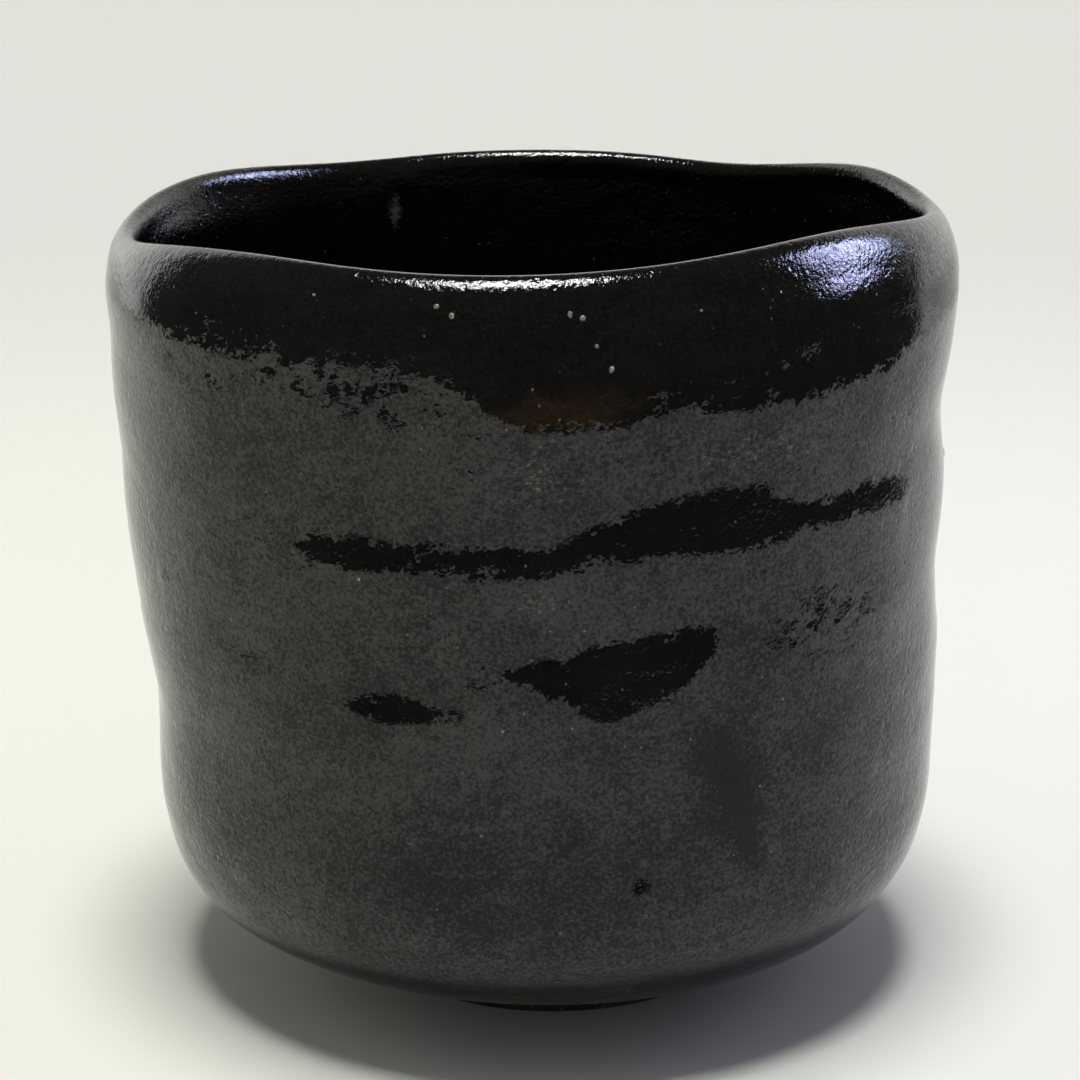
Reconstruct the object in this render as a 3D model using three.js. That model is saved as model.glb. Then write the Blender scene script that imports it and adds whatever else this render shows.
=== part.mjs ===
// A hand-formed tea bowl with a gloss black glaze: a pinched clay body on a low foot ring,
// glazed outside and over the lip, inside, and in the recess under the foot.
// Millimetres, +Z up. The origin is on the table under the middle of the bowl, and -Y is
// its front. Every piece is turned from the same outlines, and then one hand-shaping
// function moves them all, so that coats and clay lie face to face, a hairline apart.
import * as THREE from "three";

// ---- Driving dimensions -------------------------------------------------------------

const SEGMENTS = 40; // steps round the bowl
const GLAZE = 1.0; // thickness of a coat
const GLAZE_EDGE = 0.4; // thickness where a coat ends at the bare foot rim
const GLAZE_RUN_OUT = 4; // length over which a coat thins to that edge
const HAIRLINE = 0.15; // room between two pieces that lie on each other
const FOOT_RIM = { inner: 20.1, outer: 24.3 }; // radii of the bare rim on the table
const FRONT_TO_BACK = 0.985; // depth of the bowl as a share of its width

// Glazed faces as [radius, height]. The clay lies one coat thickness under them.
const OUTER_FACE = [
  [25.2, 1.2], // edge of the coat on the foot
  [25.9, 3.3],
  [29.6, 5.1], // underside
  [36.4, 6.8],
  [43.3, 10.7], // hip
  [47.3, 16.2],
  [48.9, 22],
  [49.5, 33], // wall, widening slowly
  [50.4, 49],
  [51.2, 65.9],
  [51.8, 77],
  [52.3, 86], // widest place
  [52.1, 90.3],
  [51.2, 93.2], // shoulder
  [49.9, 95.3],
  [48.9, 96], // lip
  [48.1, 95.9],
  [47.4, 95],
  [47.2, 92], // where the inner coat takes over
];
const INNER_FACE = [
  [47.3, 84],
  [47.1, 73],
  [46.4, 58],
  [45.3, 40],
  [43.9, 29],
  [41.2, 21.6],
  [35.8, 16.8],
  [26, 14.9],
  [18.6, 14.5], // edge of the tea well
  [13.6, 13.5],
  [7, 13.1],
  [0, 13],
];
const RECESS_FACE = [
  [19.3, 1.2], // edge of the coat inside the foot
  [18.7, 3.4],
  [15.5, 5.1],
  [8, 5.1],
  [0, 4.5], // small hump left in the middle
];
const SAMPLES_PER_POINT = 1.5; // how finely a face is sampled between its points
const FOOT_JOINT = { outer: 2, inner: 2 }; // samples at which the foot ring meets the body

// The lip's wave: [azimuth, half width, rise]. Azimuths are degrees from the front
// towards +X. The wave fades out down the wall between the two LIP_WAVE heights.
const LIP_RISE = 1.0;
const LIP_WAVE = { from: 70, to: 96 };
const LIP_SWELLS = [
  [45, 30, 2.45], // high at the front right
  [116, 17, 1.5],
  [148, 14, -0.8],
  [-150, 16, -0.7],
  [-121, 12, 0.35],
  [-82, 21, -2.4], // low on the left
  [-38, 18, 0.7],
];
// Pushes of the hand on the wall: [azimuth, half width, height, half height, outwards].
// They fade out towards the axis between the two PUSHED radii.
const PUSHED = { from: 25, to: 42 };
const WALL_PUSHES = [
  [90, 35, 74, 5, -0.8], // finger groove on the right, between two ridges
  [90, 35, 64, 5, 0.35],
  [90, 30, 54, 4, -0.3],
  [90, 30, 44, 5, 0.5],
  [90, 30, 25, 8, 0.3],
  [90, 30, 84, 4, -0.25],
  [90, 30, 11, 5, 0.5],
  [-90, 30, 84, 4, -0.35],
  [-90, 30, 68, 4, -0.25],
  [-90, 30, 38, 6, -0.35],
  [-100, 32, 95, 4, 1.1],
  [46, 18, 96, 4.5, -1.0], // flattened shoulder at the front right
  [-70, 55, 13, 5, 0.75], // fuller hip at the front left
];
// The lower part stands a little to the right: [height it fades from, height it is gone
// at, shift].
const LEANS = [
  [4, 13, 1.0],
  [34, 50, 1.0],
  [50, 68, 0.45],
];

// ---- Materials ----------------------------------------------------------------------

const blackGlaze = new THREE.MeshStandardMaterial({
  color: 0x0b0a09,
  roughness: 0.12,
  metalness: 0,
});
const firedClay = new THREE.MeshStandardMaterial({
  color: 0x2b2521,
  roughness: 0.85,
  metalness: 0,
});

// ---- Outlines -----------------------------------------------------------------------

// Samples a glazed face, the back of its coat and the clay under it, as three lists of
// Vector2. The clay is on the left of the way the points run when side is 1, and on the
// right when it is -1. The last point is on the axis.
function sampleCoat(points, side) {
  const curve = new THREE.CatmullRomCurve3(
    points.map(([radius, height]) => new THREE.Vector3(radius, height, 0)),
    false,
    "centripetal",
  );
  const steps = Math.round((points.length - 1) * SAMPLES_PER_POINT);
  const face = [];
  const back = [];
  const clay = [];
  let fromEdge = 0;
  for (let step = 0; step <= steps; step += 1) {
    const point = curve.getPoint(step / steps);
    const heading = curve.getTangent(step / steps);
    if (step > 0) fromEdge += Math.hypot(point.x - face.at(-1).x, point.y - face.at(-1).y);
    const share = THREE.MathUtils.smoothstep(fromEdge, 0, GLAZE_RUN_OUT);
    const depth = THREE.MathUtils.lerp(GLAZE_EDGE, GLAZE, share);
    const under = (amount) =>
      new THREE.Vector2(
        step === steps ? 0 : point.x - side * heading.y * amount,
        point.y + side * heading.x * amount,
      );
    face.push(under(0));
    back.push(under(depth - HAIRLINE));
    clay.push(under(depth));
  }
  return { face, back, clay };
}

function lowered(point) {
  return new THREE.Vector2(point.x, point.y - HAIRLINE);
}

const wallCoat = sampleCoat([...OUTER_FACE, ...INNER_FACE], 1);
const recessCoat = sampleCoat(RECESS_FACE, -1);
const seam = Math.round((OUTER_FACE.length - 1) * SAMPLES_PER_POINT);

// ---- Hand shaping -------------------------------------------------------------------

// A soft hill one unit high, which has fallen to 1/e at the half width.
function hill(distance, halfWidth) {
  return Math.exp(-((distance / halfWidth) ** 2));
}

function turnBetween(azimuth, centre) {
  return THREE.MathUtils.euclideanModulo(azimuth - centre + 180, 360) - 180;
}

function lipRise(azimuth, height) {
  const share = THREE.MathUtils.smoothstep(height, LIP_WAVE.from, LIP_WAVE.to);
  const swells = LIP_SWELLS.map(
    ([centre, width, rise]) => rise * hill(turnBetween(azimuth, centre), width),
  );
  return share * swells.reduce((sum, swell) => sum + swell, LIP_RISE);
}

function wallPush(azimuth, radius, height) {
  const share = THREE.MathUtils.smoothstep(radius, PUSHED.from, PUSHED.to);
  const pushes = WALL_PUSHES.map(
    ([centre, width, level, reach, push]) =>
      push * hill(turnBetween(azimuth, centre), width) * hill(height - level, reach),
  );
  return share * pushes.reduce((sum, push) => sum + push, 0);
}

function leanAt(height) {
  const shifts = LEANS.map(
    ([from, to, shift]) => shift * (1 - THREE.MathUtils.smoothstep(height, from, to)),
  );
  return shifts.reduce((sum, shift) => sum + shift, 0);
}

// Moves every vertex of a turned piece to where the hand left it.
function shapeByHand(geometry) {
  const position = geometry.getAttribute("position");
  for (let i = 0; i < position.count; i += 1) {
    const x = position.getX(i);
    const y = position.getY(i);
    const height = position.getZ(i);
    const radius = Math.hypot(x, y);
    const angle = Math.atan2(x, -y);
    const azimuth = THREE.MathUtils.radToDeg(angle);
    const pushed = radius + wallPush(azimuth, radius, height);
    position.setXYZ(
      i,
      pushed * Math.sin(angle) + leanAt(height),
      -pushed * Math.cos(angle) * FRONT_TO_BACK,
      height + lipRise(azimuth, height),
    );
  }
}

function handMade(name, profile, material) {
  const geometry = new THREE.LatheGeometry(profile, SEGMENTS);
  geometry.rotateX(Math.PI / 2);
  shapeByHand(geometry);
  geometry.computeVertexNormals();
  const mesh = new THREE.Mesh(geometry, material);
  mesh.name = name;
  return mesh;
}

// ---- Pieces -------------------------------------------------------------------------
// A profile runs anticlockwise round the clay or glaze that it encloses.

// Floor and wall, pinched up from one lump.
function clayBody() {
  const underside = recessCoat.clay.slice(FOOT_JOINT.inner).reverse();
  const wall = wallCoat.clay.slice(FOOT_JOINT.outer);
  return handMade("clay_body", [...underside, ...wall], firedClay);
}

// Low ring luted under the floor. Its bare rim is all that touches the table.
function footRing() {
  const rim = [new THREE.Vector2(FOOT_RIM.inner, 0), new THREE.Vector2(FOOT_RIM.outer, 0)];
  const outside = wallCoat.clay.slice(0, FOOT_JOINT.outer);
  const top = [wallCoat.clay[FOOT_JOINT.outer], recessCoat.clay[FOOT_JOINT.inner]].map(lowered);
  const inside = recessCoat.clay.slice(0, FOOT_JOINT.inner).reverse();
  return handMade("foot_ring", [...rim, ...outside, ...top, ...inside, rim[0]], firedClay);
}

// Coat from just above the bare rim, up the wall, over the lip and a little way inside.
function outerGlaze() {
  const face = wallCoat.face.slice(0, seam + 1);
  const back = wallCoat.back.slice(0, seam + 1).reverse();
  return handMade("outer_glaze", [...face, ...back, face[0]], blackGlaze);
}

// Coat of the inside, down to the tea well.
function innerGlaze() {
  const edge = [wallCoat.back[seam], wallCoat.face[seam]].map(lowered);
  const back = wallCoat.back.slice(seam + 1).reverse();
  const face = wallCoat.face.slice(seam + 1);
  return handMade("inner_glaze", [...back, ...edge, ...face], blackGlaze);
}

// Island of glaze under the floor, inside the foot ring.
function recessGlaze() {
  const face = recessCoat.face.slice().reverse();
  return handMade("recess_glaze", [...face, ...recessCoat.back], blackGlaze);
}

const bowl = new THREE.Group();
bowl.add(clayBody(), footRing(), outerGlaze(), innerGlaze(), recessGlaze());

export default bowl;
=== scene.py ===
"""A hand-formed tea bowl under a gloss black glaze, on a pale floor in soft studio light.

The scene is in metres and the dimensions below are in millimetres, +Z up. The origin is on
the floor under the middle of the bowl, and -Y is its front. Azimuths are degrees from the
front towards +X. Each piece is spun from one outline, and one hand-shaping function then
pushes all of them, so that coats and clay keep lying on each other.
"""

import math

import bmesh
import bpy
import numpy as np
from mathutils import Matrix, Vector


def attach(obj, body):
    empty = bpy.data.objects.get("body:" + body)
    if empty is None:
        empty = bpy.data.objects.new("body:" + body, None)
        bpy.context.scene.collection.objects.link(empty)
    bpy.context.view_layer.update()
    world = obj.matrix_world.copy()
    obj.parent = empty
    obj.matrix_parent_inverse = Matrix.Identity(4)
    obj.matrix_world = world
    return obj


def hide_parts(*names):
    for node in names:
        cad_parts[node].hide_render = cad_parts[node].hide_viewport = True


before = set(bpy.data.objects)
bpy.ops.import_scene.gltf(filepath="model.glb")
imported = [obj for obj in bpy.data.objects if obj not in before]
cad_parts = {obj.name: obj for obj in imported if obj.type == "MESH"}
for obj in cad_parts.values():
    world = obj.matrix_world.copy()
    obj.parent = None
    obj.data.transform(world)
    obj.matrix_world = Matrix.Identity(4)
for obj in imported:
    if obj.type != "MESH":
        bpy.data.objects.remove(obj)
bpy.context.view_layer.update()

MM = 0.001

# ---- Driving dimensions, millimetres ---------------------------------------------------

GLAZE = 1.0
GLAZE_EDGE = 0.4
GLAZE_RUN_OUT = 4
HAIRLINE = 0.05
FOOT_RIM = (20.1, 24.3)
FOOT_JOINT = 4.2  # height at which the foot ring meets the body
FRONT_TO_BACK = 0.985
OUTER_FACE = [
    (25.2, 1.2), (25.9, 3.3), (29.6, 5.1), (36.4, 6.8), (43.3, 10.7), (47.3, 16.2),
    (48.9, 22), (49.5, 33), (50.4, 49), (51.2, 65.9), (51.8, 77), (52.3, 86),
    (52.1, 90.3), (51.2, 93.2), (49.9, 95.3), (48.9, 96), (48.1, 95.9), (47.4, 95),
    (47.2, 92),
]
INNER_FACE = [
    (47.3, 84), (47.1, 73), (46.4, 58), (45.3, 40), (43.9, 29), (41.2, 21.6),
    (35.8, 16.8), (26, 14.9), (18.6, 14.5), (13.6, 13.5), (7, 13.1), (0, 13),
]
RECESS_FACE = [(19.3, 1.2), (18.7, 3.4), (15.5, 5.1), (8, 5.1), (0, 4.5)]
OUTSIDE_LINE = OUTER_FACE[:15]  # the outside, up to where the lip turns in
HALF_WALL = 2.6  # about half the wall's thickness
MIDDLE_OF_WALL = (-0.4, 0.4)  # distances from it over which the inside turns into the outside

# The lip's wave: (azimuth, half width, rise).
LIP_RISE = 1.0
LIP_WAVE = (70, 96)  # heights over which the wave sets in
LIP_SWELLS = [
    (45, 30, 2.45), (116, 17, 1.5), (148, 14, -0.8), (-150, 16, -0.7), (-121, 12, 0.35),
    (-82, 21, -2.4), (-38, 18, 0.7),
]
# Pushes of the hand on the wall: (azimuth, half width, height, half height, outwards).
PUSHED = (25, 42)  # radii over which pushes and relief set in
WALL_PUSHES = [
    (90, 35, 74, 5, -0.8), (90, 35, 64, 5, 0.35), (90, 30, 54, 4, -0.3),
    (90, 30, 44, 5, 0.5), (90, 30, 25, 8, 0.3), (90, 30, 84, 4, -0.25),
    (90, 30, 11, 5, 0.5), (-90, 30, 84, 4, -0.35), (-90, 30, 68, 4, -0.25),
    (-90, 30, 38, 6, -0.35), (-100, 32, 95, 4, 1.1), (46, 18, 96, 4.5, -1.0),
    (-70, 55, 13, 5, 0.75),
]
# The lower part stands to the right: (fades from height, gone at height, shift).
LEANS = [(4, 13, 1.0), (34, 50, 1.0), (50, 68, 0.45)]

# ---- Marks of the fingers and the fire -------------------------------------------------
# Ledges, where the wall tips back and mirrors the dark of the room. Each is a band of
# (azimuth, middle height, half height). Those past 60 and -60 are out of the front view.
LEDGES = [
    [(-32, 66.2, 0.1), (-29, 66.2, 1.7), (-20, 66.4, 1.9), (-10, 66.3, 1.7), (3, 66.5, 1.7),
     (9, 68.6, 2.4), (14, 69.5, 3.0), (22, 70.0, 3.7), (30, 69.9, 3.7), (36, 69.0, 1.7),
     (44, 69.1, 1.8), (52, 68.8, 2.1), (57, 68.4, 1.4)],
    [(-8, 54.0, -0.4), (-2, 53.3, 1.0), (3, 52.4, 2.6), (8, 52.1, 4.9), (13, 52.7, 4.5),
     (18, 53.9, 3.8), (22, 55.5, 2.2), (23.5, 56, 0.6)],
    [(-25.5, 48.1, 0.3), (-22.6, 48.1, 1.7), (-18, 48.2, 2.1), (-14, 48.2, 1.3), (-9, 48.2, 0.2)],
    [(-170, 66.0, 0.2), (-160, 66.4, 1.8), (-148, 67.0, 2.8), (-136, 67.2, 3.2),
     (-124, 66.0, 1.6), (-112, 65.6, 1.9), (-104, 65.5, 0.2)],
    [(-96, 48.0, 0.0), (-90, 48.2, 1.5), (-84, 48.5, 1.6), (-79, 48.5, 0.0)],
    [(100, 52.0, 0.0), (110, 51.5, 2.0), (122, 51.0, 3.4), (133, 52.5, 2.2), (138, 53, 0.0)],
    [(146, 70.0, 0.0), (156, 70.0, 1.8), (168, 69.4, 2.3), (176, 69.2, 0.6)],
]
# Height round the bowl above which the wall starts to tip back into the lip.
BROW = [
    (-180, 86.5), (-150, 87.5), (-120, 88.5), (-90, 89.8), (-57, 88.3), (-45, 87.9),
    (-30, 88.0), (-18, 88.0), (-12, 87.2), (-8, 85.2), (-3, 82.0), (3, 81.2), (10, 81.8),
    (17, 82.7), (28, 82.1), (40, 83.1), (50, 84.0), (57, 86.2), (75, 88.5), (100, 88.0),
    (125, 85.0), (150, 84.0), (180, 86.5),
]
# Patches with flecks of the same dark: (azimuth, height, half turn, half height, density).
FLECKS = [
    (43, 54.6, 15, 8.0, -0.15), (-43.5, 51.7, 6, 1.8, -0.1), (-24.5, 84.0, 12, 3.4, -0.15),
    (-45, 83.4, 8, 2.2, -0.15), (-33, 86.4, 12, 4.0, -0.4), (-16, 83.0, 12, 4.6, -0.4),
    (16, 77.4, 18, 5.6, -0.6), (36, 75.4, 17, 5.2, -0.55), (-2, 62.4, 16, 3.4, -0.65),
    (-16, 70.6, 20, 3.6, -0.55), (-33, 67.4, 9, 4.4, -0.4), (12.6, 27.1, 1.3, 0.9, 1.0),
    (-3, 51.2, 11, 2.4, -0.4), (-4, 78.6, 14, 4.4, -0.85), (30, 63.6, 14, 2.6, -0.8),
    (165, 56.0, 20, 6.5, -0.3), (-130, 80.5, 17, 3.8, -0.25), (84, 78.0, 13, 4.4, -0.5),
    (-100, 60.0, 14, 4.4, -0.5), (140, 35.0, 13, 4.4, -0.4),
]
# Places where the dark brow breaks up: (azimuth, height, half turn, half height, share).
BREAKS = [
    (36, 88.2, 5, 1.9, 1.0), (29, 86.2, 6, 1.6, 0.9), (23, 93.6, 5, 0.9, 0.75),
    (17, 84.6, 7, 1.4, 0.9), (-14, 87.4, 7, 1.6, 0.8), (-40, 90.4, 7, 1.4, 0.8),
    (160, 88.0, 10, 2.2, 0.9), (-140, 90.0, 8, 1.6, 0.8),
]
BROKEN = 0.3  # millimetres inside its edge that the brow counts as, where it breaks up
PATCH_CORE = 0.45  # share of a patch's breadth over which its density holds
PATCH_FALL = 1.4  # how fast the density falls past that
OUT_OF_REACH = -3  # millimetres outside every ledge and patch
LEDGE_TILT = 7  # degrees that a ledge tips back over its whole breadth
LEDGE_EDGE = (-0.9, 0.7)  # millimetres inside a ledge over which that tilt sets in
LEDGE_TOP = (88, 91)  # heights over which ledges die away under the lip
LEDGE_REACH = 8  # height over which the wall comes back to its line
FLECK_TILT = 11  # degrees more at the ragged edge of a ledge and on each fleck
LIP_ROLL = (87.5, 93)  # heights of the outline over which that tilt dies away into the lip
LIP_ROLL_LEFT = (-58, 14, 2.4)  # where it dies away higher up: azimuth, half turn, rise
MARKED_FROM = (10, 18)  # heights over which the marks set in above the hip

# Where iron shows russet: (azimuth, height, half turn, half height, strength).
RUSSET = [
    (0.5, 83.4, 7, 2.2, 0.7), (10, 84.4, 6, 1.8, 0.6), (4, 82.0, 9, 1.4, 0.4),
    (-1, 65.9, 9, 1.3, 0.35), (28, 90.5, 12, 2.0, 0.25), (172, 83.0, 14, 3.0, 0.7),
    (-128, 63.5, 9, 2.0, 0.45), (108, 48.5, 8, 2.0, 0.45),
]
# Where the gloss is duller, as under the marks of the tongs, and below 0 where it is keener.
DULLED = [
    (23.5, 42.0, 4.2, 4.0, 0.6), (25.5, 37.0, 3.6, 5.4, 0.65), (28.2, 31.5, 2.0, 4.8, 0.6),
    (-158, 40.0, 4.0, 8.0, 0.7), (-10, 25, 16, 6, 0.3), (-74, 82, 16, 18, -0.8),
    (-74, 52, 12, 18, -0.5), (12, 61, 14, 4, -0.15), (-36, 76, 9, 6, 0.12),
]
# Thin veils of ash on the outside: (azimuth, height, half turn, half height, strength).
ASH = [
    (0.8, 75.6, 4.5, 5.0, 0.34), (0.0, 61.8, 4.5, 3.0, 0.3), (-24, 77, 10, 4, 0.14),
    (30, 77.5, 15, 3.6, 0.3), (8, 45.5, 12, 2.4, 0.12), (150, 79, 12, 4, 0.3),
    (-120, 52, 10, 5, 0.25),
]
# Pimples left on the wall: (azimuth, height, half breadth, height out).
PIMPLES = [(87, 66.3, 0.9, 0.4), (88, 41.0, 0.8, 0.35), (-60, 57.0, 0.9, 0.2), (150, 61, 1, 0.3)]
# A blister inside the far wall, as a pimple is given, with a pale run of ash under it.
BLISTER = (-157.2, 94.2, 1.9, -0.3)
PALE_RUN = (-155.8, 89.4, 1.1, 2.3, 0.9)
# Unevenness of the hand: (spread, seed, grain round the bowl, grain up it).
OUTSIDE_UNEVEN = [(0.15, 1, 14, 7), (0.05, 2, 5, 3)]
INSIDE_UNEVEN = [(0.25, 21, 18, 7), (0.06, 22, 6, 3), (0.02, 23, 2, 1)]
OUTSIDE_ROUGH = (11, 9, 6)  # where the outside is rougher: seed and grains
OUTSIDE_SKIN = (5, 1.5, 0.7)  # its finest unevenness: seed and grains
SKIN_SPREAD = (0.005, 0.012)  # of that skin where it is calm, and more where it is rough
# Heights of the outline over which relief sets in and dies away.
OUTSIDE_SPAN = ((8, 20), (91.5, 95.5))
INSIDE_SPAN = ((15, 24), (92, 95.8))
# Small pale grains on the glaze, as beads of geometry: (azimuth, height, size).
GRAIN_RADIUS = 0.39  # of a grain whose size is 1
GRAIN_OVAL = (0.7, 0.95)  # least and most breadth across a grain, as shares of its length
GRAIN_FLATNESS = 0.35
GRAIN_SEED = 7
LOWEST_GRAIN = 10  # height of the outline under which none sits
GRAINS = [
    (-11.4, 94.2, 0.8), (-9.5, 93.4, 0.9), (-27.2, 94.4, 0.5), (4.5, 93.6, 1.0), (6.0, 93.0, 0.9),
    (7.6, 90.3, 0.6), (9.3, 87.9, 1.0), (20.5, 93.3, 0.4), (-13.2, 79.0, 0.35),
    (19.6, 44.6, 0.4), (29.5, 37.5, 0.35), (4.4, 47.2, 0.35), (33.4, 47.6, 0.5),
    (-22.0, 63.2, 0.5), (-4.4, 46.3, 0.5), (31.6, 28.6, 0.4), (-35, 72.0, 0.35),
    (12.5, 60.6, 0.35), (-8.3, 33.6, 0.4), (2.0, 21.5, 0.4), (-14.5, 24.0, 0.35),
    (72, 92.5, 0.7), (100, 60.0, 0.6), (121, 90.8, 0.9), (143, 75.0, 0.5), (170, 92.0, 0.8),
    (-165, 57.0, 0.6), (-140, 90.5, 0.9), (-112, 81.0, 0.5), (-88, 70.5, 0.6),
]


# ---- Fields over azimuth and height ----------------------------------------------------

FIELD_TURN = 1440  # samples round the bowl
FIELD_TOP = 102  # millimetres covered by the field
FIELD_STEP = 0.25
HAIR_BRUSH = 0.01  # millimetres, too narrow to blur
MEAN_RADIUS = 50
MM_PER_DEGREE = math.radians(1) * MEAN_RADIUS
turns = np.arange(FIELD_TURN) * 360 / FIELD_TURN - 180
levels = np.arange(0, FIELD_TOP, FIELD_STEP)
TURN, LEVEL = np.meshgrid(turns, levels)


def smooth_step(low, high, value):
    share = np.clip((value - low) / (high - low), 0, 1)
    return share * share * (3 - 2 * share)


def turn_between(azimuth, centre):
    return (azimuth - centre + 180) % 360 - 180


def hill(distance, half_width):
    return np.exp(-((distance / half_width) ** 2))


def within(span, height):
    """1 between the two slopes of a span of heights, 0 past them."""
    rising, falling = span
    return smooth_step(*rising, height) * (1 - smooth_step(*falling, height))


def softened(field, round_mm, up_mm):
    """The field blurred by a soft brush of these two widths."""
    along = np.fft.fftfreq(FIELD_TURN, 2 * math.pi * MEAN_RADIUS / FIELD_TURN)
    up = np.fft.fftfreq(len(levels), FIELD_STEP)
    brush = np.exp(-2 * (math.pi * along * round_mm) ** 2)[None, :]
    brush = brush * np.exp(-2 * (math.pi * up * up_mm) ** 2)[:, None]
    return np.fft.ifft2(np.fft.fft2(field) * brush).real


def mottle(seed, round_mm, up_mm):
    """Random unevenness with a spread of one and these two grain sizes."""
    grain = np.random.RandomState(seed).standard_normal(TURN.shape)
    field = softened(grain, round_mm, up_mm)
    return field / field.std()


def unevenness(layers):
    """The sum of layers of (spread, seed, grain round the bowl, grain up it)."""
    return sum(spread * mottle(seed, round_mm, up_mm) for spread, seed, round_mm, up_mm in layers)


def marked(marks):
    """The sum of soft marks of (azimuth, height, half turn, half height, strength)."""
    return sum(
        strength * hill(turn_between(TURN, azimuth), half_turn) * hill(LEVEL - height, half_height)
        for azimuth, height, half_turn, half_height, strength in marks
    )


def blob(azimuth, height, half_breadth, out):
    """A round pimple, or a hollow where out is below 0."""
    sideways = turn_between(TURN, azimuth) * MM_PER_DEGREE
    return out * hill(sideways, half_breadth) * hill(LEVEL - height, half_breadth)


def inside_ledge(knots):
    """Millimetres that each place lies inside a ledge, below 0 outside it."""
    azimuths, middles, halves = np.array(knots, float).T
    past = np.maximum(0, np.maximum(azimuths[0] - TURN, TURN - azimuths[-1]))
    half = np.interp(TURN, azimuths, halves) - past * MM_PER_DEGREE
    return half - np.abs(LEVEL - np.interp(TURN, azimuths, middles))


def inside_patch(azimuth, height, half_turn, half_height, density):
    """The same for a patch, whose density is how far inside its middle counts as."""
    across = turn_between(TURN, azimuth) / half_turn
    away = np.hypot(across, (LEVEL - height) / half_height)
    return density - PATCH_FALL * np.maximum(0, away - PATCH_CORE)


def tipped_back():
    """Millimetres that each place lies inside the nearest ledge, patch or the brow."""
    edge = np.interp(TURN, [knot[0] for knot in BROW], [knot[1] for knot in BROW])
    inside = LEVEL - edge
    for knots in LEDGES:
        inside = np.maximum(inside, inside_ledge(knots))
    for patch in FLECKS:
        inside = np.maximum(inside, inside_patch(*patch))
    deeper = np.maximum(0, inside - BROKEN)
    return np.maximum(inside - deeper * np.minimum(1, marked(BREAKS)), OUT_OF_REACH)


def ledge_relief(tipped):
    """Steps back the wall above each ledge and brings it out again over LEDGE_REACH."""
    slope = math.tan(math.radians(LEDGE_TILT)) * smooth_step(*LEDGE_EDGE, tipped)
    slope = slope * (1 - smooth_step(*LEDGE_TOP, LEVEL))
    steps = -np.cumsum(slope, axis=0) * FIELD_STEP
    return steps - softened(steps, HAIR_BRUSH, LEDGE_REACH)


def wall_relief(tipped):
    """Relief of the outer wall in millimetres, outwards."""
    rough = smooth_step(-0.5, 1.5, mottle(*OUTSIDE_ROUGH))
    calm_spread, rough_spread = SKIN_SPREAD
    relief = unevenness(OUTSIDE_UNEVEN)
    relief += (calm_spread + rough_spread * rough) * mottle(*OUTSIDE_SKIN)
    relief += ledge_relief(tipped)
    return relief + sum(blob(*pimple) for pimple in PIMPLES)


def inside_relief():
    """Relief of the inner wall in millimetres, outwards: softer, in broad waves."""
    return unevenness(INSIDE_UNEVEN) + blob(*BLISTER)


TIPPED = tipped_back()
OUTSIDE = wall_relief(TIPPED)
INSIDE = inside_relief()
RUSSET_MARKS = marked(RUSSET)
DULL_MARKS = marked(DULLED)
PALE_INSIDE = marked([PALE_RUN])
PALE_OUTSIDE = marked(ASH)


def read_field(field, azimuth, height):
    """The field at each azimuth and height, between its samples."""
    column = (azimuth + 180) / 360 * FIELD_TURN
    row = np.clip(height / FIELD_STEP, 0, len(levels) - 1.001)  # a row above each is read too
    left, low = np.floor(column).astype(int), np.floor(row).astype(int)
    across, up = column - left, row - low
    left, right = left % FIELD_TURN, (left + 1) % FIELD_TURN
    below = field[low, left] * (1 - across) + field[low, right] * across
    above = field[low + 1, left] * (1 - across) + field[low + 1, right] * across
    return below * (1 - up) + above * up


# ---- Hand shaping ----------------------------------------------------------------------


def lip_rise(azimuth, height):
    swells = sum(rise * hill(turn_between(azimuth, at), width) for at, width, rise in LIP_SWELLS)
    return smooth_step(*LIP_WAVE, height) * (LIP_RISE + swells)


def wall_push(azimuth, radius, height):
    pushes = sum(
        push * hill(turn_between(azimuth, at), width) * hill(height - level, reach)
        for at, width, level, reach, push in WALL_PUSHES
    )
    return smooth_step(*PUSHED, radius) * pushes


def lean_at(height):
    return sum(shift * (1 - smooth_step(low, high, height)) for low, high, shift in LEANS)


def outside_share(radius, height):
    """1 outside the middle of the wall, 0 inside it."""
    radii, heights = np.array(OUTSIDE_LINE).T
    middle = np.interp(height, heights, radii) - HALF_WALL
    return smooth_step(*MIDDLE_OF_WALL, radius - middle)


def relief_at(azimuth, radius, height, risen):
    """Relief where a turned point ends up, which fades out on the lip, hip and floor."""
    outer = outside_share(radius, height)
    outside = read_field(OUTSIDE, azimuth, risen) * within(OUTSIDE_SPAN, height)
    inside = read_field(INSIDE, azimuth, risen) * within(INSIDE_SPAN, height)
    return (outer * outside + (1 - outer) * inside) * smooth_step(*PUSHED, radius)


def shaped(turned):
    """Where the hands left each turned point, in millimetres, and its azimuth."""
    x, y, height = turned.T
    radius = np.hypot(x, y)
    angle = np.arctan2(x, -y)
    azimuth = np.degrees(angle)
    risen = height + lip_rise(azimuth, height)
    pushed = radius + wall_push(azimuth, radius, height) + relief_at(azimuth, radius, height, risen)
    sideways = pushed * np.sin(angle) + lean_at(height)
    return np.stack([sideways, -pushed * np.cos(angle) * FRONT_TO_BACK, risen], axis=1), azimuth


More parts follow.
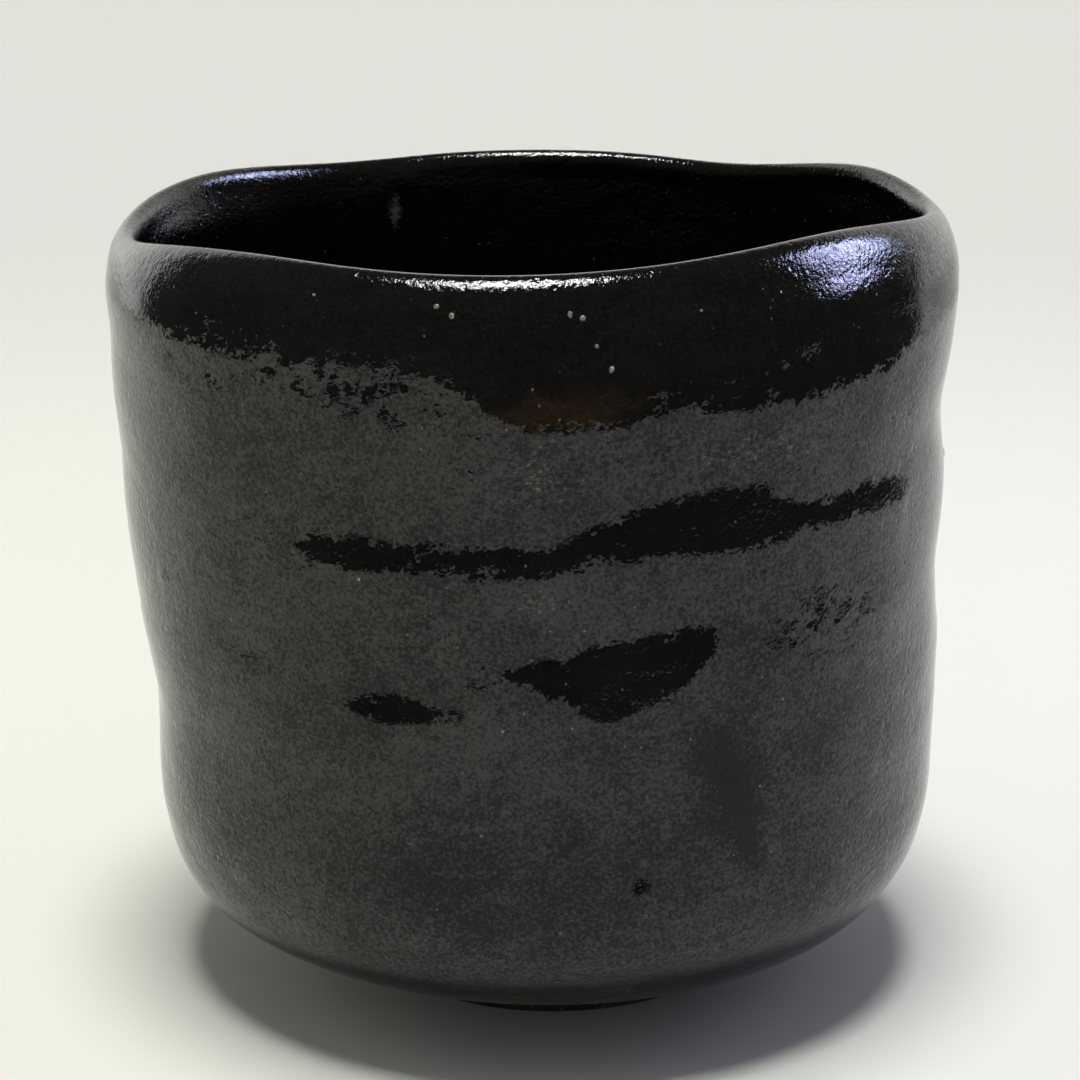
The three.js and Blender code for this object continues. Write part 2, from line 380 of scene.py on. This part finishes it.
def shape_by_hand(mesh):
    """Shapes a turned mesh, leaves it in metres and writes the fire's marks on its points."""
    flat = np.empty(len(mesh.vertices) * 3)
    mesh.vertices.foreach_get("co", flat)
    turned = flat.reshape(-1, 3)
    moved, azimuth = shaped(turned)
    mesh.vertices.foreach_set("co", (moved * MM).ravel())
    radius, height, risen = np.hypot(turned[:, 0], turned[:, 1]), turned[:, 2], moved[:, 2]
    outer = outside_share(radius, height) * smooth_step(*MARKED_FROM, height)
    tipped = read_field(TIPPED, azimuth, risen)
    keep_mark(mesh, "tipped", OUT_OF_REACH + (tipped - OUT_OF_REACH) * (outer > 0.5))
    left, half_turn, rise = LIP_ROLL_LEFT
    higher = rise * hill(turn_between(azimuth, left), half_turn)
    keep_mark(mesh, "upright", 1 - smooth_step(*LIP_ROLL, height - higher))
    keep_mark(mesh, "russet", outer * read_field(RUSSET_MARKS, azimuth, risen))
    keep_mark(mesh, "dulled", outer * read_field(DULL_MARKS, azimuth, risen))
    ash = read_field(PALE_OUTSIDE, azimuth, risen)
    run = read_field(PALE_INSIDE, azimuth, risen)
    keep_mark(mesh, "pale", outer * ash + (1 - outer) * run)
    mesh.update()


def keep_mark(mesh, name, values):
    """Writes a value on each point, for the glaze to read."""
    mark = mesh.attributes.new(name, "FLOAT", "POINT")
    mark.data.foreach_set("value", values.astype(np.float32))


# ---- Outlines --------------------------------------------------------------------------

SAMPLES_PER_POINT = 40  # of the curve, before they are spaced evenly
WALL_SAMPLES = 480
RECESS_SAMPLES = 60
RIM_SAMPLES = 12


def curve_through(points, samples):
    """Points evenly spaced along a smooth curve through the given ones, its headings, and
    how far along the curve each one lies."""
    knots = np.array(points, float)
    knots = np.vstack([2 * knots[0] - knots[1], knots, 2 * knots[-1] - knots[-2]])
    gaps = np.sqrt(np.linalg.norm(np.diff(knots, axis=0), axis=1))
    times = np.concatenate([[0], np.cumsum(gaps)])
    dense = []
    for i in range(1, len(knots) - 2):
        t = np.linspace(times[i], times[i + 1], SAMPLES_PER_POINT, endpoint=False)[:, None]
        a, b, c, d = knots[i - 1 : i + 3]
        ta, tb, tc, td = times[i - 1 : i + 3]
        ab = ((tb - t) * a + (t - ta) * b) / (tb - ta)
        bc = ((tc - t) * b + (t - tb) * c) / (tc - tb)
        cd = ((td - t) * c + (t - tc) * d) / (td - tc)
        abc = ((tc - t) * ab + (t - ta) * bc) / (tc - ta)
        bcd = ((td - t) * bc + (t - tb) * cd) / (td - tb)
        dense.append(((tc - t) * abc + (t - tb) * bcd) / (tc - tb))
    dense = np.vstack(dense + [knots[-2:-1]])
    lengths = np.concatenate([[0], np.cumsum(np.linalg.norm(np.diff(dense, axis=0), axis=1))])
    even = np.linspace(0, lengths[-1], samples)
    line = np.stack([np.interp(even, lengths, dense[:, i]) for i in (0, 1)], axis=1)
    heading = np.gradient(line, axis=0)
    return line, heading / np.linalg.norm(heading, axis=1)[:, None], even


def sample_coat(points, samples, side):
    """A glazed face, the back of its coat and the clay under it, as lists of (r, z)."""
    face, heading, run = curve_through(points, samples)
    depth = GLAZE_EDGE + (GLAZE - GLAZE_EDGE) * smooth_step(0, GLAZE_RUN_OUT, run)
    under = np.stack([-heading[:, 1], heading[:, 0]], axis=1) * side
    back = face + under * (depth - HAIRLINE)[:, None]
    clay = face + under * depth[:, None]
    for outline in (face, back, clay):
        outline[-1, 0] = 0
    return face, back, clay


FACE, BACK, CLAY = sample_coat(OUTER_FACE + INNER_FACE, WALL_SAMPLES, 1)
SEAM = int(np.argmin(np.linalg.norm(FACE - OUTER_FACE[-1], axis=1)))
CREST = int(np.argmax(FACE[:, 1]))
RECESS, RECESS_BACK, RECESS_CLAY = sample_coat(RECESS_FACE, RECESS_SAMPLES, -1)


def thinned(outline, every):
    """Every so many points of an outline, with both its ends kept."""
    keep = list(range(0, len(outline) - 1, every)) + [len(outline) - 1]
    return outline[keep]


# ---- Mesh work -------------------------------------------------------------------------

COAT_STEPS = 384  # round the bowl
CLAY_STEPS = 240
RECESS_STEPS = 200
# One point in so many is kept of the inner face, of the clay and of the coats' backs.
INNER_EVERY = 2
CLAY_EVERY = 4
BACK_EVERY = 14
MERGED = 1e-4  # millimetres within which points are one
CREASE = math.radians(40)


def spun(name, outline, steps, closed):
    """A solid of revolution from an outline of (r, z), shaped by hand."""
    bm = bmesh.new()
    corners = [bm.verts.new((r, 0, z)) for r, z in outline]
    edges = [bm.edges.new(pair) for pair in zip(corners, corners[1:])]
    if closed:
        edges.append(bm.edges.new((corners[-1], corners[0])))
    bmesh.ops.spin(
        bm, geom=corners + edges, cent=(0, 0, 0), axis=(0, 0, 1), angle=2 * math.pi,
        steps=steps, use_merge=True,
    )
    bmesh.ops.remove_doubles(bm, verts=bm.verts, dist=MERGED)
    bmesh.ops.recalc_face_normals(bm, faces=bm.faces)
    mesh = bpy.data.meshes.new(name)
    bm.to_mesh(mesh)
    bm.free()
    shape_by_hand(mesh)
    return placed(name, mesh)


def placed(name, mesh):
    mesh.shade_smooth()
    mesh.set_sharp_from_angle(angle=CREASE)
    piece = bpy.data.objects.new(name, mesh)
    bpy.context.scene.collection.objects.link(piece)
    return piece


def outer_coat():
    """From just above the bare rim, up the wall, over the lip and a little way inside."""
    face = FACE[: SEAM + 1]
    back = thinned(BACK[: SEAM + 1][::-1], BACK_EVERY)
    return spun("outer_coat", np.vstack([face, back]), COAT_STEPS, True)


def inner_coat():
    """From there down to the tea well."""
    back = thinned(BACK[SEAM:][::-1], BACK_EVERY)
    face = thinned(FACE[SEAM:], INNER_EVERY)
    return spun("inner_coat", np.vstack([back, face]), COAT_STEPS, False)


def recess_coat():
    """The island of glaze inside the foot."""
    outline = np.vstack([RECESS[::-1], thinned(RECESS_BACK, CLAY_EVERY)])
    return spun("recess_coat", outline, RECESS_STEPS, False)


def joint_samples():
    """Where the foot ring meets the body, on the outside and in the recess."""
    outside = int(np.argmax(CLAY[:, 1] > FOOT_JOINT))
    inside = int(np.argmax(RECESS_CLAY[:, 1] > FOOT_JOINT))
    return outside, inside


def clay_lump():
    """Floor and wall, pinched up from one lump."""
    outside, inside = joint_samples()
    underside = thinned(RECESS_CLAY[inside:][::-1], CLAY_EVERY)
    wall = thinned(CLAY[outside:], CLAY_EVERY)
    return spun("clay_lump", np.vstack([underside, wall]), CLAY_STEPS, False)


def foot():
    """The low ring whose bare rim is all that touches the table."""
    outside, inside = joint_samples()
    rim = np.stack([np.linspace(*FOOT_RIM, RIM_SAMPLES), np.zeros(RIM_SAMPLES)], axis=1)
    outline = np.vstack([rim, CLAY[:outside], RECESS_CLAY[:inside][::-1]])
    return spun("foot", outline, CLAY_STEPS, True)


def on_the_wall(azimuth, height):
    """The point of the outside at this azimuth and height, and the way that it faces."""
    angle = math.radians(azimuth)
    radii, heights = FACE[:CREST].T
    turned = np.stack([radii * math.sin(angle), -radii * math.cos(angle), heights], axis=1)
    line, _ = shaped(turned)
    too_low = (heights < LOWEST_GRAIN) * FIELD_TOP
    at = int(np.argmin(np.abs(line[:, 2] - height) + too_low))
    up = Vector(line[min(at + 2, CREST - 1)] - line[at - 2])
    across = Vector((math.cos(angle), math.sin(angle), 0))
    return Vector(line[at]) * MM, across.cross(up).normalized()


def pale_grains():
    """Flattened beads half sunk in the glaze, each turned a little its own way."""
    bm = bmesh.new()
    chance = np.random.RandomState(GRAIN_SEED)
    for azimuth, height, size in GRAINS:
        place, facing = on_the_wall(azimuth, height)
        turn = facing.to_track_quat("Z", "Y").to_matrix().to_4x4()
        roll = Matrix.Rotation(chance.uniform(0, math.pi), 4, "Z")
        squash = Matrix.Diagonal((1, chance.uniform(*GRAIN_OVAL), GRAIN_FLATNESS, 1))
        bmesh.ops.create_icosphere(
            bm, subdivisions=2, radius=GRAIN_RADIUS * size * MM,
            matrix=Matrix.Translation(place) @ turn @ roll @ squash,
        )
    mesh = bpy.data.meshes.new("pale_grains")
    bm.to_mesh(mesh)
    bm.free()
    return placed("pale_grains", mesh)


# ---- Materials -------------------------------------------------------------------------

GLAZE_BLACK = (0.0040, 0.0039, 0.0035, 1)
GLAZE_WARM = (0.0060, 0.0051, 0.0040, 1)
IRON_RUSSET = (0.021, 0.0125, 0.0058, 1)
ASH_GREY = (0.13, 0.125, 0.11, 1)
SPECK_GREY = (0.10, 0.096, 0.085, 1)
SMOKED_CLAY = (0.030, 0.023, 0.019, 1)
FIRED_CLAY = (0.075, 0.056, 0.043, 1)
CLAY_GRIT = (0.16, 0.14, 0.12, 1)
GRAIN_DARK = (0.08, 0.076, 0.068, 1)
GRAIN_PALE = (0.30, 0.29, 0.26, 1)
# The floor's colours hold painted light: warm lamplight on the left, and shade far behind.
FLOOR_LEFT_LAMPLIT = (0.855, 0.868, 0.785, 1)
FLOOR_RIGHT = (0.86, 0.876, 0.855, 1)
FLOOR_FAR_SHADED = (0.715, 0.715, 0.68, 1)
THIN_GLAZE_IOR = 1.29
THICK_GLAZE_IOR = 1.55
GLAZE_ROUGHNESS = 0.052
GLAZE_RELIEF = 0.10  # millimetres of the glaze's skin
CLAY_RELIEF = 0.25
LAID_TURN = 0.3  # radians that the brush marks of the glaze slope
LAID_FLATNESS = 1.7  # how much longer they are than high


class Wire:
    """A shader socket. Arithmetic on it adds Math nodes to its material."""

    def __init__(self, tree, socket=None):
        self.tree = tree
        self.socket = socket

    def node(self, kind, settings=None, inputs=None, output=0):
        """Adds a node, with its settings first and then its inputs, and returns one output."""
        made = self.tree.nodes.new(kind)
        for name, value in (settings or {}).items():
            setattr(made, name, value)
        for name, value in (inputs or {}).items():
            if isinstance(value, Wire):
                self.tree.links.new(value.socket, made.inputs[name])
            else:
                made.inputs[name].default_value = value
        return Wire(self.tree, made.outputs[output]) if made.outputs else None

    def maths(self, operation, *values):
        return self.node("ShaderNodeMath", {"operation": operation}, dict(enumerate(values)))

    def __add__(self, other):
        return self.maths("ADD", self, other)

    def __sub__(self, other):
        return self.maths("SUBTRACT", self, other)

    def __rsub__(self, other):
        return self.maths("SUBTRACT", other, self)

    def __mul__(self, other):
        return self.maths("MULTIPLY", self, other)

    def __truediv__(self, other):
        return self.maths("DIVIDE", self, other)

    __radd__ = __add__
    __rmul__ = __mul__

    def ease(self, low, high):
        """0 below low, 1 above high, and smooth between."""
        limits = {"Value": self, "From Min": low, "From Max": high}
        return self.node("ShaderNodeMapRange", {"interpolation_type": "SMOOTHSTEP"}, limits)

    def noise(self, grain_mm, detail=2.0, rough=0.5):
        """Noise around 0 on these coordinates, with grains of about that size."""
        inputs = {"Vector": self, "Scale": 1 / (grain_mm * MM), "Detail": detail, "Roughness": rough}
        return self.node("ShaderNodeTexNoise", None, inputs) - 0.5

    def cells(self, breadth_mm):
        """Distance from the nearest of many scattered points, in cells of this breadth."""
        inputs = {"Vector": self, "Scale": 1 / (breadth_mm * MM)}
        return self.node("ShaderNodeTexVoronoi", {"feature": "F1"}, inputs)

    def stretched(self, x, y, z):
        return self.node("ShaderNodeMapping", None, {"Vector": self, "Scale": (x, y, z)})

    def turned(self, x, y, z):
        return self.node("ShaderNodeMapping", None, {"Vector": self, "Rotation": (x, y, z)})

    def mixed(self, first, second):
        """The two colours mixed by this wire."""
        colours = {0: self, 6: first, 7: second}
        return self.node("ShaderNodeMix", {"data_type": "RGBA"}, colours, 2)

    def mark(self, name):
        """A mark that was written on the points of the mesh."""
        return self.node("ShaderNodeAttribute", {"attribute_name": name}, output="Fac")


def new_material(name):
    material = bpy.data.materials.new(name)
    material.use_nodes = True
    material.node_tree.nodes.clear()
    start = Wire(material.node_tree)
    return material, start, start.node("ShaderNodeTexCoord", output="Object")


def finish_surface(start, settings):
    show_surface(start, start.node("ShaderNodeBsdfPrincipled", None, settings))


def show_surface(start, shader):
    start.node("ShaderNodeOutputMaterial", None, {"Surface": shader})


def tipped_normal(start, share):
    """The surface's own facing, tipped up by that share of FLECK_TILT."""
    facing = start.node("ShaderNodeNewGeometry", output="Normal")
    lift = start.node(
        "ShaderNodeVectorMath", {"operation": "SCALE"},
        {0: (0, 0, math.tan(math.radians(FLECK_TILT))), "Scale": share},
    )
    leaned = start.node("ShaderNodeVectorMath", {"operation": "ADD"}, {0: facing, 1: lift})
    return start.node("ShaderNodeVectorMath", {"operation": "NORMALIZE"}, {0: leaned})


def black_glaze():
    """Thick, glossy, nearly black, with a fine pitted skin, ragged ledges and russet breaths."""
    material, start, place = new_material("black_glaze")
    laid = place.turned(0, LAID_TURN, 0).stretched(1, 1, LAID_FLATNESS)
    patchy = place.noise(24, 2).ease(-0.10, 0.12)

    # The ledges' edges, frayed by some millimetres in licks, threads and grain.
    ragged = 6.5 * laid.noise(3.4, 3, 0.6) + 3.4 * laid.noise(0.9, 2, 0.6)
    ragged = ragged + 2.8 * place.noise(0.4, 2, 0.7)
    ledge = (start.mark("tipped") + ragged).ease(-0.4, 0.4)
    facing = tipped_normal(start, ledge * start.mark("upright"))

    # The skin, calmer on the ledges.
    skin = laid.noise(1.1, 2, 0.6) * (0.45 + 0.4 * patchy)
    ripples = laid.noise(3.2, 2, 0.5) * (0.22 + 0.7 * patchy)
    grain = place.noise(0.42, 2, 0.65)
    pits = 1 - place.cells(1.9).ease(0.10, 0.22)
    calm = 1 - 0.6 * ledge * start.mark("upright")
    relief = (skin + ripples + grain * 0.5 - pits * 0.3) * calm
    bump = start.node(
        "ShaderNodeBump", None,
        {"Height": relief, "Strength": 1.0, "Distance": GLAZE_RELIEF * MM, "Normal": facing},
    )

    # Iron, ash and specks over the black.
    iron = (start.mark("russet") + 1.6 * laid.noise(2.4, 4, 0.7)).ease(0.25, 1.1)
    warm = place.noise(30, 3, 0.6).ease(0.0, 0.2)
    colour = warm.mixed(GLAZE_BLACK, GLAZE_WARM)
    colour = iron.mixed(colour, IRON_RUSSET)
    run = (start.mark("pale") + 1.6 * laid.noise(0.8, 3, 0.65)).ease(0.25, 0.8)
    colour = run.mixed(colour, ASH_GREY)
    chosen = place.noise(2.2, 0).ease(0.10, 0.16)
    specks = (1 - place.cells(1.7).ease(0.06, 0.12)) * chosen
    colour = specks.mixed(colour, SPECK_GREY)

    # Gloss that wanders between a thin glaze's and a thick one's.
    uneven = 1.3 * place.noise(12, 3, 0.6) + 1.0 * laid.noise(2.6, 3, 0.65)
    uneven = uneven + 3.2 * place.noise(0.45, 2, 0.75)
    gloss = (0.47 + uneven - start.mark("dulled")).ease(-0.1, 1.1)
    roughness = GLAZE_ROUGHNESS + 0.08 * place.noise(6, 3) + 0.3 * specks
    finish = {"Base Color": colour, "Roughness": roughness, "Normal": bump}
    thin = start.node("ShaderNodeBsdfPrincipled", None, {**finish, "IOR": THIN_GLAZE_IOR})
    thick = start.node("ShaderNodeBsdfPrincipled", None, {**finish, "IOR": THICK_GLAZE_IOR})
    show_surface(start, start.node("ShaderNodeMixShader", None, {0: gloss, 1: thin, 2: thick}))
    return material


def fired_clay():
    """Bare smoked clay with grit."""
    material, start, place = new_material("fired_clay")
    grain = place.noise(0.5, 4, 0.7)
    grit = place.cells(0.9)
    cloud = place.noise(7, 3).ease(-0.2, 0.2)
    colour = cloud.mixed(SMOKED_CLAY, FIRED_CLAY)
    colour = (1 - grit.ease(0.15, 0.3)).mixed(colour, CLAY_GRIT)
    bump = start.node(
        "ShaderNodeBump", None,
        {"Height": grain + grit * 0.6, "Strength": 0.8, "Distance": CLAY_RELIEF * MM},
    )
    finish_surface(start, {"Base Color": colour, "Roughness": 0.82 + 0.3 * grain, "Normal": bump})
    return material


def pale_grain_finish():
    """Pale grey grains with darker spots, half sunk in the glaze."""
    material, start, place = new_material("pale_grain_finish")
    colour = place.noise(0.4, 3, 0.6).ease(-0.15, 0.15).mixed(GRAIN_DARK, GRAIN_PALE)
    finish_surface(start, {"Base Color": colour, "Roughness": 0.35, "IOR": 1.5})
    return material


def pale_floor():
    """Smooth card, with warm lamplight painted on the left and shade painted far behind."""
    material, start, place = new_material("pale_floor")
    across = start.node("ShaderNodeSeparateXYZ", None, {"Vector": place}, 0)
    along = start.node("ShaderNodeSeparateXYZ", None, {"Vector": place}, 1)
    # painted warm lamplight on the left, fading to the plain right
    near = across.ease(-0.12, 0.12).mixed(FLOOR_LEFT_LAMPLIT, FLOOR_RIGHT)
    # painted shade far behind, where the light falls off
    colour = along.ease(0.12, 0.55).mixed(near, FLOOR_FAR_SHADED)
    finish_surface(start, {"Base Color": colour, "Roughness": 0.7, "Specular IOR Level": 0.2})
    return material


# ---- Pieces ----------------------------------------------------------------------------

glaze = black_glaze()
clay = fired_clay()
for make, node, material, slot in (
    (outer_coat, "outer_glaze", glaze, "black_glaze"),
    (inner_coat, "inner_glaze", glaze, "black_glaze"),
    (recess_coat, "recess_glaze", glaze, "black_glaze"),
    (clay_lump, "clay_body", clay, "fired_clay"),
    (foot, "foot_ring", clay, "fired_clay"),
):
    piece = make()
    piece.data.materials.append(material)
    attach(piece, "root")
    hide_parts(node)

grains = pale_grains()
grains.data.materials.append(pale_grain_finish())
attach(grains, "root")


# ---- Studio ----------------------------------------------------------------------------

FLOOR_RADIUS = 4.0
FLOOR_SIDES = 96
CAMERA_PLACE = (0.85 * MM, -330 * MM, 150.6 * MM)
CAMERA_AIM = (0.85 * MM, 0, 54.1 * MM)
LENS = 90
SENSOR_WIDTH = 36

WARM_WHITE = (1.0, 0.98, 0.95)
SKY_BLUE = (0.57, 0.62, 1.0)
LIGHTS_AIM = Vector((0, 0, 0.09))
# Suns: (name, where it stands, strength, colour, width in degrees, the rays that miss it).
SUNS = [
    ("ceiling_lamp", (-0.12, -0.40, 1.45), 6.5, WARM_WHITE, 25, "visible_diffuse"),
    ("bounced_light", (-0.02, -0.09, 1.5), 2.62, WARM_WHITE, 20, "visible_glossy"),
    ("sky_glow", (1.3, 0.1, 0.7), 0.34, SKY_BLUE, 50, "visible_glossy"),
    ("warm_glow", (-1.3, 0.1, 0.6), 0.36, WARM_WHITE, 50, "visible_glossy"),
]
WINDOW_PLACE = (1.28, 0.24, 0.80)
WINDOW_STRENGTH = 21
WINDOW = (0.56, 0.50)  # breadth and height

# The room as directions from the bowl, each between -1 and 1 in x, y and z.
ROOM_WHITE = (1.0, 0.985, 0.95, 1)
TO_THE_SIDE = (0.2, 0.6)  # sideways share over which a side of the room sets in
WALL_TOP = (0.60, 0.72)  # upward share over which the pale wall ends
WALL_EDGE = (0.655, 0.70)  # backward share over which it sets in
LEFT_OPENING = 0.10  # how much farther back that is on the left
TO_THE_CEILING = (0.0, 0.5)  # upward share over which the ceiling sets in
# Strengths of the room as the glaze mirrors it: its dark, and what each part adds to that.
DARK_STRENGTH = 0.07
CEILING_STRENGTH = 0.05
WALL_STRENGTH = 0.80
WALL_MORE_LEFT = 0.70
WALL_MORE_RIGHT = 0.40
# Strengths of the room as it lights things: everywhere, and what the pale wall adds.
FILL_STRENGTH = 0.12
WALL_FILL = 0.35
SEEN_STRENGTH = 0.80  # of the paleness that shows past the floor


def lay_floor():
    bm = bmesh.new()
    bmesh.ops.create_circle(bm, cap_ends=True, segments=FLOOR_SIDES, radius=FLOOR_RADIUS)
    mesh = bpy.data.meshes.new("floor")
    bm.to_mesh(mesh)
    bm.free()
    floor = bpy.data.objects.new("floor", mesh)
    floor.data.materials.append(pale_floor())
    bpy.context.scene.collection.objects.link(floor)


def light(name, kind, place, energy, colour, **sizes):
    lamp = bpy.data.lights.new(name, kind)
    lamp.energy = energy
    lamp.color = colour
    for size, value in sizes.items():
        setattr(lamp, size, value)
    holder = bpy.data.objects.new(name, lamp)
    holder.location = place
    holder.rotation_euler = (LIGHTS_AIM - Vector(place)).to_track_quat("-Z", "Y").to_euler()
    bpy.context.scene.collection.objects.link(holder)
    return holder


def room():
    """A dim room with a pale wall behind the bowl; the camera sees only paleness."""
    world = bpy.data.worlds.new("room")
    bpy.context.scene.world = world
    world.use_nodes = True
    world.node_tree.nodes.clear()
    start = Wire(world.node_tree)
    way = start.node("ShaderNodeTexCoord", output="Generated")
    x, y, z = (start.node("ShaderNodeSeparateXYZ", None, {"Vector": way}, i) for i in range(3))
    level = (x * x + y * y).maths("SQRT")
    left = (0 - x).ease(*TO_THE_SIDE)
    right = x.ease(*TO_THE_SIDE)
    behind = (y / level - LEFT_OPENING * left).ease(*WALL_EDGE) * (1 - z.ease(*WALL_TOP))
    dim = DARK_STRENGTH + CEILING_STRENGTH * z.ease(*TO_THE_CEILING)
    mirrored = start.node("ShaderNodeLightPath", output="Is Glossy Ray")
    pale = dim + (WALL_STRENGTH + WALL_MORE_LEFT * left + WALL_MORE_RIGHT * right) * behind
    strength = pale * mirrored + (FILL_STRENGTH + WALL_FILL * behind) * (1 - mirrored)
    seen = start.node("ShaderNodeLightPath", output="Is Camera Ray")
    strength = strength * (1 - seen) + SEEN_STRENGTH * seen
    glow = {"Color": ROOM_WHITE, "Strength": strength}
    background = start.node("ShaderNodeBackground", None, glow)
    start.node("ShaderNodeOutputWorld", None, {"Surface": background})


def set_camera():
    camera = bpy.data.objects.new("camera", bpy.data.cameras.new("camera"))
    camera.data.lens = LENS
    camera.data.sensor_width = SENSOR_WIDTH
    camera.location = CAMERA_PLACE
    way = Vector(CAMERA_AIM) - camera.location
    camera.rotation_euler = way.to_track_quat("-Z", "Y").to_euler()
    bpy.context.scene.collection.objects.link(camera)
    bpy.context.scene.camera = camera


lay_floor()
room()
set_camera()
for name, place, energy, colour, width, missed_by in SUNS:
    sun = light(name, "SUN", place, energy, colour, angle=math.radians(width))
    setattr(sun, missed_by, False)
window = light(
    "window", "AREA", WINDOW_PLACE, WINDOW_STRENGTH, SKY_BLUE,
    shape="RECTANGLE", size=WINDOW[0], size_y=WINDOW[1],
)
window.visible_diffuse = False
bpy.context.scene.view_settings.view_transform = "Standard"
